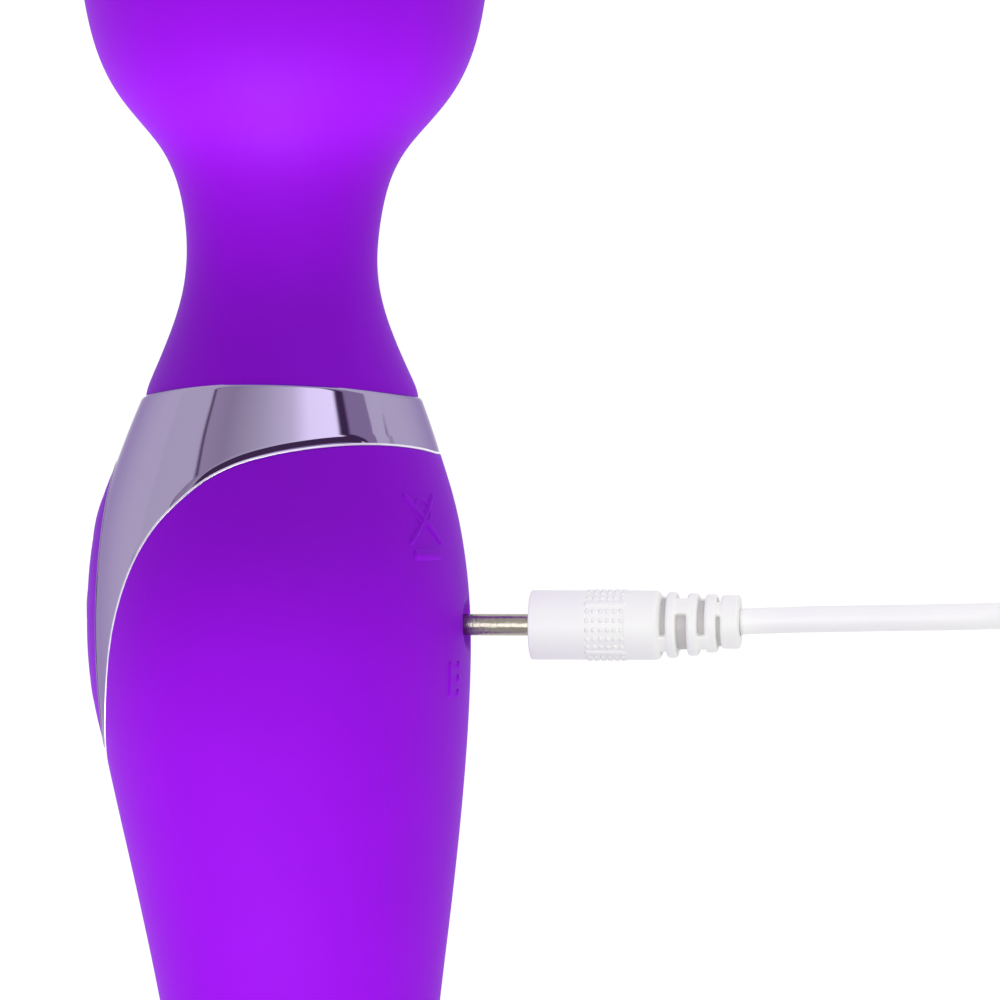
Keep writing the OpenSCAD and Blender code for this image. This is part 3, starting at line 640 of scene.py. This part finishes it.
panel = make("front_panel", *control_panel(), silicone, "handle", ["control_panel"], "silicone_violet")
button_rows = [WINDOW_Y + BUTTON_PITCH, WINDOW_Y, WINDOW_Y - BUTTON_PITCH]
for y in button_rows:
    cut(panel, cutter(-26, -10, BUTTON_R + BUTTON_GAP, y, 72))


def panel_front(y, z, rise):
    """The panel's surface straight in front of a point at height z from the axis, at y."""
    a = np.degrees(np.arcsin(z / side_line(y)))
    along, across = np.abs((y - WINDOW_Y) / WINDOW_L), np.abs(a / WINDOW_A)
    scale = (along**WINDOW_POWER + across**WINDOW_POWER) ** (1 / WINDOW_POWER)
    return on_handle(a, y, -rise - panel_rise(scale))[..., 0]


def button(y0):
    """A button that follows the panel's surface and stands a little proud of it, with a rounded rim."""
    turn = np.radians(np.arange(72) * 5)

    def ring(r, drop=0.0):
        y, z = y0 + r * np.cos(turn), r * np.sin(turn)
        return np.stack([panel_front(y, z, CROWN * (1 - (r / BUTTON_R) ** 2) - drop), y, AXIS_Z + z], -1)

    rings = [ring(r) for r in np.concatenate([[0.05], np.arange(0.5, BUTTON_R - RIM, 0.35)])]
    for q in range(0, 91, 15):
        t = math.radians(q)
        rings.append(ring(BUTTON_R - RIM * (1 - math.sin(t)), RIM * (1 - math.cos(t))))
    return loft(rings + [ring(BUTTON_R, BUTTON_H)])


def ridge(path, width, height, surface):
    """A soft raised stroke along a path of 2-D points. surface(u, v, rise) puts it on the object."""
    sink = 0.08
    path = np.array(path, float)
    direction = np.gradient(path, axis=0)
    direction /= np.linalg.norm(direction, axis=1)[:, None]
    across = np.stack([-direction[:, 1], direction[:, 0]], -1)
    profile = [(c, math.cos(math.pi * c / 2) ** 1.4) for c in np.linspace(1, -1, 13)]
    rings = []
    for k, (point, side) in enumerate(zip(path, across)):
        near_end = min(k, len(path) - 1 - k) / 2
        grow = min(1.0, 0.35 + 0.65 * near_end)
        ring = [surface(*(point + side * c * width / 2 * grow), s * height * grow - (0 if s > 0.02 else sink))
                for c, s in profile]
        rings.append(ring)
    return loft(rings)


def stroke(*ends):
    """Points of a straight stroke between two ends."""
    return catmull([(*p, 0) for p in ends], 0.12)[:, :2]


def arc(cx, cy, r, start, end, count=30):
    """Points of an arc from start to end degrees."""
    t = np.radians(np.linspace(start, end, count))
    return np.stack([cx + r * np.cos(t), cy + r * np.sin(t)], -1)


def on_button(y0):
    """A surface for ridge() on the crown of the button at y0."""
    def surface(u, v, rise):
        r2 = (u * u + v * v) / BUTTON_R**2
        y, z = y0 + v, u
        x = float(panel_front(np.array(y), np.array(z), CROWN * (1 - r2) + rise))
        return [x, y, AXIS_Z + z]
    return surface


marks = {
    "plus": [stroke((-1.5, 0), (1.5, 0)), stroke((0, -1.5), (0, 1.5))],
    "power": [arc(0, 0, 1.5, 125, 415), stroke((0, 0.5), (0, 2.1))],
    "minus": [stroke((-1.5, 0), (1.5, 0))],
}
for (name, strokes), y in zip(marks.items(), button_rows):
    make(name + "_cap", *button(y), silicone, name, [name + "_button"], "silicone_violet")
    make(name + "_mark", *joined([ridge(s, 0.42, 0.14, on_button(y)) for s in strokes]), white_plastic, name,
         slot="white_plastic")

# ---------------------------------------------------------------- moulded marks beside the port
def on_skin(angle, y0):
    """A surface for ridge() on the handle's skin, round a point at an angle from the front and at y0."""
    radius = float(np.linalg.norm(on_handle(angle, y0)[[0, 2]] - [0, AXIS_Z]))

    def surface(u, v, rise):
        return on_handle(angle + math.degrees(u / radius), y0 + v, -rise)
    return surface


# A crossed bin over a bar, and a line over three dashes for direct current
cross = on_skin(152.8, 12.3)
bar = on_skin(152.6, 8.3)
supply = on_skin(165.5, -6.0)
strokes = [ridge(stroke((-2.9, -2.8), (2.9, 2.9)), 0.85, 0.22, cross),
           ridge(stroke((-2.9, 2.9), (2.9, -2.8)), 0.85, 0.22, cross),
           ridge(arc(0, 0.9, 1.35, -9, 369, 63), 0.7, 0.17, cross),
           ridge(stroke((-2.5, 0), (2.7, 0)), 1.5, 0.22, bar),
           ridge(stroke((-1.2, -2.1), (-1.2, 2.1)), 0.8, 0.22, supply)]
strokes += [ridge(stroke((1.0, v - 0.5), (1.0, v + 0.5)), 0.8, 0.22, supply) for v in (-1.6, 0, 1.6)]
make("port_marks", *joined(strokes), silicone, "handle", slot="silicone_violet")

# ---------------------------------------------------------------- neck and head
lathe_angles = np.arange(0, 360, 2.5)


def round_ring(y, depth=0.0, radius=None):
    """A ring of the neck or head, whose middle wanders by a hair as the moulding does."""
    radius = (neck_line(y) if radius is None else radius) - depth
    a = np.radians(lathe_angles)
    return np.stack([drift_line(y) - radius * np.cos(a), np.broadcast_to(y, a.shape),
                     AXIS_Z + radius * np.sin(a)], -1)


LIP_R = 15.85
drift_line = smooth_curve([(22, 0), (26, -0.12), (30, -0.2), (41, -0.2), (47, -0.06), (52, 0), (58, 0.15),
                           (66, 0.2), (74, 0.15), (80, 0.15), (101, 0.15)], 1.2)


def neck_lower():
    """The neck's skin from just inside the trim up to the link. Its foot stays within the trim's top edge."""
    foot = trim_top(lathe_angles) - 0.25
    rings = []
    for k in range(35):
        y = foot + (LINK_Y - foot) * k / 34
        # The smaller of the neck's own radius and the lip's, with a soft change from one to the other
        radius = LIP_R - np.log1p(np.exp((LIP_R - neck_line(y)) * 6)) / 6
        rings.append(round_ring(y, radius=radius))
    rings += [round_ring(LINK_Y - (LINK_Y - 28) * k / 10, SKIN) for k in range(11)]
    return loft(rings, closed=True)


def neck_upper():
    """The neck's skin from the link up to the head."""
    rings = [round_ring(LINK_Y + (CUP_Y - LINK_Y) * k / 36) for k in range(37)]
    rings += [round_ring(CUP_Y + (LINK_Y - CUP_Y) * k / 10, SKIN) for k in range(11)]
    return loft(rings, closed=True)


lower_neck = make("neck_skin_low", *neck_lower(), silicone, None, ["neck_skin_lower"], "silicone_violet")
upper_neck = make("neck_skin_high", *neck_upper(), silicone, None, ["neck_skin_upper"], "silicone_violet")

SPRING_R, SPRING_WIRE, SPRING_TURNS = 6.7, 1.3, 4


def neck_spring(y0, y1):
    """A coil spring round the middle of the neck."""
    turn = np.linspace(0, 2 * math.pi * SPRING_TURNS, 24 * SPRING_TURNS + 1)
    y = y0 + (y1 - y0) * turn / turn[-1]
    line = np.stack([SPRING_R * np.cos(turn), y, AXIS_Z + SPRING_R * np.sin(turn)], -1)
    return tube(line, SPRING_WIRE / 2, 10)


def neck_wires(y0, y1):
    """The two wires down the middle of the neck."""
    y = np.linspace(y0, y1, 30)
    lines = [np.stack([np.full(30, x), y, np.full(30, AXIS_Z)], -1) for x in (-1.2, 1.2)]
    return joined([tube(line, 0.6, 12) for line in lines])


lower_spring = make("neck_spring_low", *neck_spring(29.4, LINK_Y - 2.5), steel, None,
                    ["neck_spring_lower"], "steel")
upper_spring = make("neck_spring_high", *neck_spring(LINK_Y + 2.5, CUP_Y - 2.2), steel, None,
                    ["neck_spring_upper"], "steel")
lower_wires = make("neck_wires_low", *neck_wires(19.6, LINK_Y - 0.1), wire_red, None,
                   ["neck_leads_lower"], "wire_red")
upper_wires = make("neck_wires_high", *neck_wires(LINK_Y + 0.1, CUP_Y + 2.6), wire_red, None,
                   ["neck_leads_upper"], "wire_red")


def head_skin():
    """From the tip of the dome down the outside to the open end, and back up the inside to the tip."""
    def dome(depth, turns):
        rings = []
        for q in turns:
            t = math.radians(float(q))
            y = EQUATOR + (DOME - depth) * math.sin(t) ** (2 / END_POWER)
            rings.append(round_ring(y, radius=(HEAD_R - depth) * math.cos(t) ** (2 / END_POWER)))
        return rings

    rings = dome(0.0, [89.7, 89, 88, *np.arange(87, 2, -3)])
    rings += [round_ring(EQUATOR + (CUP_Y - EQUATOR) * k / 44) for k in range(45)]
    rings += [round_ring(CUP_Y + (EQUATOR - CUP_Y) * k / 12, SKIN) for k in range(12)]
    rings += dome(SKIN, [*np.arange(0, 88, 6), 87, 89])
    return loft(rings)


make("head_skin", *head_skin(), silicone, "head", ["head_cover"], "silicone_violet")

# ---------------------------------------------------------------- charging plug
def plug_barrel():
    """The bare barrel, an open tube round the plug's insulator."""
    bore, end = 0.8, GRIP_X + 2.8
    profile = [(TIP_X, bore)] + rounded_corner(TIP_X, BARREL_R, 0.2) + [(end, BARREL_R), (end, bore)]
    return lathe(profile, (PORT_Y, AXIS_Z))


make("barrel", *plug_barrel(), nickel, "cable", ["plug_barrel"], "nickel")

PAD_X = GRIP_X + 6.5
PAD_TURN = 6.7
PAD_COLUMNS, PAD_ROWS = 6, 5
# Where the pads begin and end along the grip, how far the ribs between them rise, and how far the pads sink
PAD_BEGIN, PAD_END = (6.45, 6.63), (10.95, 11.13)
RIB_RISE, PAD_SINK = 0.16, 0.05
BUMP_PITCH, BUMP_STEP, BUMP_R, BUMP_H = 0.793, 15.7, 0.3, 0.22


def from_plug(x, turn, radius):
    """A point round the plug's axis; turn is 0 at the top and grows towards the handle's lower end."""
    t = np.radians(turn)
    return np.stack(np.broadcast_arrays(x, PORT_Y - radius * np.sin(t), AXIS_Z + radius * np.cos(t)), -1)


def grip_body():
    """The grip with its four sunk pads and the ribs between them."""
    turns = np.arange(0, 360, 2.0)
    profile = [(0.0, 0.4)] + rounded_corner(0, GRIP_R, 0.12)
    xs = np.concatenate([[0.6, 1.5, 3, 4.5, 5.8, 6.3], np.arange(6.45, 6.75, 0.06), np.arange(7, 10.8, 0.5),
                         np.arange(10.9, 11.2, 0.06), [11.5, 12.2, 13, 14]])
    profile += [(x, GRIP_R) for x in xs]
    end = 0.85
    for q in range(0, 91, 10):
        t = math.radians(q)
        profile.append((GRIP_L - end + end * math.sin(t), GRIP_R - end + end * math.cos(t)))
    profile.append((GRIP_L, 0.4))
    offset = np.mod(turns - PAD_TURN + 45, 90)
    rib = np.maximum(1 - ease(offset, 3.0, 5.5), ease(offset, 84.5, 87.0))
    rings = []
    for x, r in profile:
        inside = float(ease(x, *PAD_BEGIN) * (1 - ease(x, *PAD_END)))
        lift = inside * (RIB_RISE * rib - PAD_SINK * (1 - rib)) if r == GRIP_R else 0.0
        rings.append(from_plug(GRIP_X + x, turns, r + lift))
    return loft(rings)


def bump(x, turn):
    """A small dome that stands on the grip."""
    rings = []
    radius = GRIP_R - 0.05
    for q in (0, 22, 45, 68, 85):
        t = math.radians(q)
        a = np.radians(np.arange(0, 360, 36))
        u, v = BUMP_R * math.cos(t) * np.cos(a), BUMP_R * math.cos(t) * np.sin(a)
        rise = BUMP_H * math.sin(t) - (0.08 if q == 0 else 0)
        rings.append(from_plug(x + u, turn + np.degrees(v / radius), radius + rise))
    return loft(rings)


bumps = [bump(PAD_X + BUMP_R + BUMP_PITCH * c, PAD_TURN + 90 * pad + BUMP_STEP * (r - 2))
         for pad in range(4) for c in range(PAD_COLUMNS) for r in range(PAD_ROWS)]
make("grip", *joined([grip_body()] + bumps), white_plastic, "cable", ["plug_grip"], "white_plastic")

# The strain relief: collars (start, end, radius, rise) round a thinner core, joined by short bridges
# (start, end, radius, turn from the top) on alternating sides
COLLARS = [(0.57, 1.82, 3.8, 0.04), (2.97, 4.27, 3.6, 0.1), (5.02, 6.42, 3.37, 0.24), (6.82, 9.02, 3.1, 0.42)]
BRIDGES = [(-0.4, 1.2, 3.74, 41), (1.4, 3.4, 3.62, -39), (3.9, 5.4, 3.4, 43), (6.0, 7.4, 3.14, -39)]
RELIEF_RISE = 0.15


def relief_collar(x0, x1, radius, rise):
    """A collar with rounded rims, its middle moved towards the head by rise."""
    bore, rim = 1.6, 0.36
    profile = [(x0, bore)] + rounded_corner(x0, radius, rim) + rounded_corner(x1, radius, rim, -1)[::-1]
    profile.append((x1, bore))
    return lathe([(RELIEF_X + x, r) for x, r in profile], (PORT_Y + rise, AXIS_Z))


def relief_bridge(x0, x1, radius, centre, inside=1.8):
    """Two bridges on opposite sides, the first in the middle of centre degrees from the top."""
    parts = []
    for middle in (centre, centre + 180):
        turns = np.radians(middle + np.linspace(-18, 18, 13))
        rings = []
        for x in (x0, x1):
            edge = [(radius, t) for t in turns] + [(inside, t) for t in turns[::-1]]
            rings.append([[RELIEF_X + x, PORT_Y + RELIEF_RISE - r * math.sin(t), AXIS_Z + r * math.cos(t)]
                          for r, t in edge])
        parts.append(loft(rings))
    return parts


def moulded(obj, voxel, passes):
    """Grows the pieces of a mesh into one skin with soft inner corners."""
    remesh = obj.modifiers.new("remesh", "REMESH")
    remesh.mode = "VOXEL"
    remesh.voxel_size = voxel * MM
    soften = obj.modifiers.new("soften", "SMOOTH")
    soften.factor = 0.5
    soften.iterations = passes
    apply_modifiers(obj)
    obj.data.shade_smooth()


relief_parts = [relief_collar(*c) for c in COLLARS]
for b in BRIDGES:
    relief_parts += relief_bridge(*b)
relief = make("strain_relief", *joined(relief_parts), white_plastic, "cable", ["plug_relief"],
              "white_plastic")
moulded(relief, 0.13, 4)
# The core inside the collars, coloured with the grey of the painted shade between them.
make("relief_core", *lathe([(RELIEF_X - 0.3, 0.2), (RELIEF_X - 0.3, 2.95), (RELIEF_X + 2.5, 2.9),
                            (RELIEF_X + 8.6, 2.35), (RELIEF_X + 8.6, 0.2)], (PORT_Y + RELIEF_RISE, AXIS_Z)),
     relief_core, "cable", slot="white_plastic")

# ---------------------------------------------------------------- far end of the cable
def rounded_box(low, high, radius, steps=4):
    """A box with all its edges rounded, as points and faces."""
    work = bmesh.new()
    bmesh.ops.create_cube(work, size=1.0)
    low, high = np.array(low, float), np.array(high, float)
    for v in work.verts:
        v.co = Vector((low + high) / 2 + np.array(v.co) * (high - low))
    bmesh.ops.bevel(work, geom=work.edges[:], offset=radius, segments=steps, profile=0.5, affect="EDGES")
    points = [tuple(v.co) for v in work.verts]
    work.verts.index_update()
    faces = [[v.index for v in f.verts] for f in work.faces]
    work.free()
    return points, faces


# The grip of the USB plug, five finger ribs on each of its sides and a low panel on its top
usb_parts = [rounded_box((USB_X - 7.8, 50, 0), (USB_X + 7.8, 74, 8), 1.3)]
usb_parts += [rounded_box((USB_X - 7.95, 57 + 1.9 * k, 2.2), (USB_X + 7.95, 58.1 + 1.9 * k, 5.8), 0.25, 2)
              for k in range(5)]
usb_parts += [rounded_box((USB_X - 5.2, 56.2, 0), (USB_X + 5.2, 68.4, 8.12), 0.3, 2)]
make("usb_grip_body", *joined(usb_parts), white_plastic, "cable", ["usb_grip"], "white_plastic")


def tie_band():
    """A strap round the bundle: a rounded loop in the plane across the coil, as wide as it is tall."""
    middle, lift, half_w, half_h, corner, thick = 15.75, 4.9, 5.5, 4.7, 1.6, 0.55
    loop = []
    for cx, cz, start in ((1, 1, 0), (-1, 1, 90), (-1, -1, 180), (1, -1, 270)):
        for q in range(0, 91, 15):
            t = math.radians(start + q)
            loop.append((middle + cx * (half_w - corner) + corner * math.cos(t),
                         lift + cz * (half_h - corner) + corner * math.sin(t)))
    loop = np.array(loop)
    inward = loop.mean(0) - loop
    inward /= np.linalg.norm(inward, axis=1)[:, None]
    turn = math.radians(120)
    rings = []
    for place, deep in ((-3.3, 0), (3.3, 0), (3.5, 0.5), (3.3, 1), (-3.3, 1), (-3.5, 0.5)):
        shape = loop + inward * thick * deep
        x = shape[:, 0] * math.cos(turn) - place * math.sin(turn) + COIL_C[0]
        y = shape[:, 0] * math.sin(turn) + place * math.cos(turn) + COIL_C[1]
        rings.append(np.stack([x, y, shape[:, 1]], -1))
    return loft(rings, closed=True)


make("tie_band", *tie_band(), white_plastic, "cable", ["cord_tie"], "white_plastic", sharp=60)

with_cord = [o for o in bpy.data.objects if o.name in
             ("barrel", "grip", "strain_relief", "relief_core", "usb_grip_body", "tie_band", "plug_insulator",
              "usb_shell", "usb_tongue", "usb_contacts")]

# ---------------------------------------------------------------- floor, world and lights
floor_material = new_material("floor", Base_Color=(0.05, 0.05, 0.05), Roughness=0.9, Specular_IOR_Level=0.0,
                              Emission_Color=(1.0, 1.0, 1.0), Emission_Strength=1.0)
FLOOR = 2500.0
FLOOR_Z = -7.0  # low enough for the head to bend down to its limit
corners = [(x * FLOOR, y * FLOOR, FLOOR_Z) for x, y in ((-1, -1), (1, -1), (1, 1), (-1, 1))]
floor = make("floor", corners, [[0, 1, 2, 3]], floor_material)


def studio_world():
    """A plain studio: pale walls, a dark-framed soft box beyond the head end, and a dim ceiling."""
    world = bpy.data.worlds.new("studio")
    bpy.context.scene.world = world
    world.use_nodes = True
    nodes, links = world.node_tree.nodes, world.node_tree.links

    def add(kind, *values, **settings):
        """Adds a node. values are numbers or other nodes' outputs for its inputs, in their order."""
        node = nodes.new(kind)
        for key, value in settings.items():
            setattr(node, key, value)
        for socket, value in zip(node.inputs, values):
            if isinstance(value, bpy.types.NodeSocket):
                links.new(value, socket)
            elif value is not None:
                socket.default_value = value
        return node.outputs[0]

    def step(value, low, high):
        """0 below low, 1 above high, smooth between."""
        return add("ShaderNodeMapRange", value, low, high, interpolation_type="SMOOTHSTEP")

    def grey(level):
        return (level, level, level, 1)

    def mixed(fac, first, second):
        return add("ShaderNodeMixRGB", fac, first, second)

    axes = nodes.new("ShaderNodeSeparateXYZ")
    links.new(add("ShaderNodeTexCoord"), axes.inputs[0])
    x, y, z = axes.outputs
    lean = add("ShaderNodeMath", x, z, operation="ARCTAN2")
    place = add("ShaderNodeMapRange", lean, -math.pi, math.pi, 0.0, 1.0)
    ramp = nodes.new("ShaderNodeValToRGB")
    links.new(place, ramp.inputs["Fac"])
    dark = (0.10, 0.05, 0.125)
    # The lean from straight up towards +X in degrees, and the colour that is seen there
    stops = [(-60, (0.98, 0.98, 0.98)), (-58.2, (0.9, 0.9, 0.9)), (-57.4, dark), (-56.2, dark),
             (-55.2, (0.68, 0.6, 0.68)), (-38, (0.6, 0.53, 0.6)), (-8, (0.86, 0.86, 0.86)),
             (20, (1.25, 1.25, 1.25)), (36, (1.9, 1.9, 1.9)), (60, (2, 2, 2)), (62.5, dark), (69.5, dark),
             (71, (0.52, 0.42, 0.58))]
    while len(ramp.color_ramp.elements) < len(stops):
        ramp.color_ramp.elements.new(0.5)
    for element, (angle, colour) in zip(ramp.color_ramp.elements, stops):
        element.position = angle / 360 + 0.5
        element.color = (*[channel / 2 for channel in colour], 1)
    box = add("ShaderNodeVectorMath", ramp.outputs["Color"], (2, 2, 2), operation="MULTIPLY")
    # From the head's end to the handle's: a grey wall, the soft box, a dim ceiling over a wall, a grey wall
    colour = mixed(step(y, 0.8, 0.92), box, grey(0.75))
    back = mixed(step(z, 0.2, 0.32), grey(0.6), (0.11, 0.06, 0.13, 1))
    colour = mixed(step(y, 0.14, 0.2), back, colour)
    colour = mixed(step(y, -0.22, -0.16), grey(0.7), colour)
    links.new(colour, nodes["Background"].inputs["Color"])


studio_world()


def area_light(name, distance, lift, turn, size, power):
    """A soft box at a distance in metres, lifted off the table and turned from -Y to +X by degrees."""
    data = bpy.data.lights.new(name, "AREA")
    data.shape = "RECTANGLE"
    data.size, data.size_y = size
    data.energy = power
    light = bpy.data.objects.new(name, data)
    bpy.context.scene.collection.objects.link(light)
    lift, turn = math.radians(lift), math.radians(turn)
    aim = Vector((0, 0.01, 0.03))
    way = Vector((math.cos(lift) * math.sin(turn), -math.cos(lift) * math.cos(turn), math.sin(lift)))
    light.location = aim + way * distance
    light.rotation_euler = (-way).to_track_quat("-Z", "Y").to_euler()
    return light


def light_only(light, pieces):
    """Keeps a light to the pieces given, as a flag or a grid would."""
    group = bpy.data.collections.new(light.name + "_receivers")
    for piece in pieces:
        group.objects.link(piece)
    light.light_linking.receiver_collection = group


cable_pieces = [cord, *with_cord]
pieces = [o for o in bpy.data.objects if o.type == "MESH" and o != floor]
key = area_light("key", 0.8, 21, -3, (0.6, 0.34), 10.5)
light_only(key, [o for o in pieces if o not in cable_pieces] + [floor])
top = area_light("top", 0.8, 86, 0, (0.5, 0.5), 2.5)
light_only(top, [o for o in pieces if o in cable_pieces])

bpy.context.scene.view_settings.view_transform = "Standard"
bpy.context.scene.view_settings.look = "None"

# ---------------------------------------------------------------- the neck's pieces, with their places baked into their meshes
for piece in (lower_neck, lower_spring, lower_wires):
    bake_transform(piece)
for piece in (upper_neck, upper_spring, upper_wires):
    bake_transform(piece)
